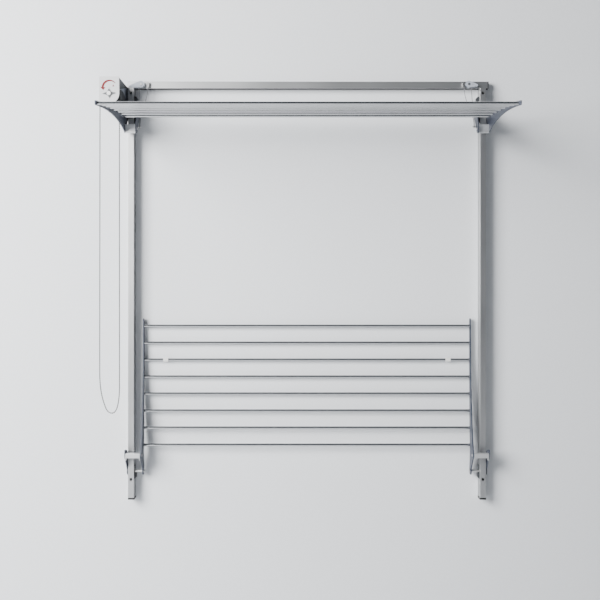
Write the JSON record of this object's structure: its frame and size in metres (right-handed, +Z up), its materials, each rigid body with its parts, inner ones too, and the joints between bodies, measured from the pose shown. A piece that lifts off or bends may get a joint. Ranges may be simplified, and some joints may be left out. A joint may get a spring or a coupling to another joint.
{
  "type": "drying rack",
  "caption": "Wall mounted fold down drying rack: rails, a sliding upper rack and a folding lower rack with round rods, cord pulleys and a bead chain winch.",
  "frame": {"origin": "centre of the four wall screw holes, on the wall face of the rails", "axes": "+X to the right as seen from the room, +Y into the wall, +Z up"},
  "size_m": [1.2711, 0.5245, 1.388],
  "materials": {
    "anodised_aluminium": "satin anodised",
    "rod_aluminium": "bright brushed",
    "arm_blue_grey": "satin powder coat",
    "black_plastic": "matte",
    "dark_nylon": "matte",
    "zinc_steel": "zinc plated",
    "pulley_housing": "satin",
    "white_nylon": "matte",
    "winch_dark": "matte",
    "cover_pale": "satin",
    "bronze": "sintered",
    "nickel_beads": "polished nickel",
    "pale_cord": "braided polyester"
  },
  "bodies": {
    "frame": {"bead_chain": "nickel_beads", "chain_over_wheel": "nickel_beads", "cord_anchors": "zinc_steel", "end_caps": "black_plastic", "lift_cord_left": "pale_cord", "lift_cord_right": "pale_cord", "lower_pivot_blocks": "dark_nylon", "lower_pivot_pins": "zinc_steel", "lower_spacers": "zinc_steel", "pulley_axles": "zinc_steel", "pulley_housing_left": "pulley_housing", "pulley_housing_right": "pulley_housing", "rail_left": "anodised_aluminium", "rail_right": "anodised_aluminium", "top_beam": "anodised_aluminium", "winch_bearing_plate": "winch_dark", "winch_bracket": "arm_blue_grey", "winch_bushes": "bronze", "winch_cover": "cover_pale", "winch_cover_screws": "zinc_steel", "winch_housing": "winch_dark"},
    "upper_carriage": {"cord_knobs": "zinc_steel", "upper_pivot_pins": "zinc_steel", "upper_sliders_left": "dark_nylon", "upper_sliders_right": "dark_nylon"},
    "upper_rack": {"upper_arm_left": "arm_blue_grey", "upper_arm_right": "arm_blue_grey", "upper_fork_channels": "anodised_aluminium", "upper_fork_rivets": "zinc_steel", "upper_inner_cheeks": "arm_blue_grey", "upper_rod_1": "rod_aluminium", "upper_rod_2": "rod_aluminium", "upper_rod_3": "rod_aluminium", "upper_rod_4": "rod_aluminium", "upper_rod_5": "rod_aluminium", "upper_rod_6": "rod_aluminium", "upper_rod_7": "rod_aluminium", "upper_rod_8": "rod_aluminium", "upper_rod_plugs": "black_plastic"},
    "lower_rack": {"lower_arm_left": "arm_blue_grey", "lower_arm_right": "arm_blue_grey", "lower_fork_channels": "anodised_aluminium", "lower_fork_rivets": "zinc_steel", "lower_outer_cheeks": "arm_blue_grey", "lower_rod_1": "rod_aluminium", "lower_rod_2": "rod_aluminium", "lower_rod_3": "rod_aluminium", "lower_rod_4": "rod_aluminium", "lower_rod_5": "rod_aluminium", "lower_rod_6": "rod_aluminium", "lower_rod_7": "rod_aluminium", "lower_rod_8": "rod_aluminium", "lower_rod_plugs": "black_plastic", "wall_buffers": "white_nylon"},
    "winch_drive": {"winch_shaft": "zinc_steel", "cord_drum": "winch_dark", "chain_wheel": "winch_dark", "hub_star": "dark_nylon"},
    "pulley_left": {"pulley_wheel_left": "white_nylon"},
    "pulley_right": {"pulley_wheel_right": "white_nylon"}
  },
  "joints": [
    {"name": "upper_slide", "type": "slide", "parent": "frame", "child": "upper_carriage", "axis": [0, 0, 1], "range_m": [-1.02, 0], "deforming": ["lift_cord_left", "lift_cord_right"]},
    {"name": "upper_fold", "type": "hinge", "parent": "upper_carriage", "child": "upper_rack", "pos_m": [0, -0.021, 0.567], "axis": [-1, 0, 0], "range_deg": [0, 84]},
    {"name": "lower_fold", "type": "hinge", "parent": "frame", "child": "lower_rack", "pos_m": [0, -0.021, -0.614], "axis": [1, 0, 0], "range_deg": [0, 98]},
    {"name": "winch_turn", "type": "hinge", "parent": "frame", "child": "winch_drive", "pos_m": [-0.6327, -0.14, 0.6145], "axis": [0, -1, 0], "range_deg": [-6876.49, 0]},
    {"name": "pulley_left_turn", "type": "hinge", "parent": "frame", "child": "pulley_left", "pos_m": [-0.5495, -0.032, 0.6695], "axis": [0, -1, 0], "range_deg": [-16012.42, 0]},
    {"name": "pulley_right_turn", "type": "hinge", "parent": "frame", "child": "pulley_right", "pos_m": [0.5365, -0.032, 0.6695], "axis": [0, -1, 0], "range_deg": [0, 16012.42]}
  ],
  "couplings": [
    {"joint": "winch_turn", "follows": "upper_slide", "rad_per_m": 117.65},
    {"joint": "pulley_left_turn", "follows": "upper_slide", "rad_per_m": 273.97},
    {"joint": "pulley_right_turn", "follows": "upper_slide", "rad_per_m": -273.97}
  ]
}
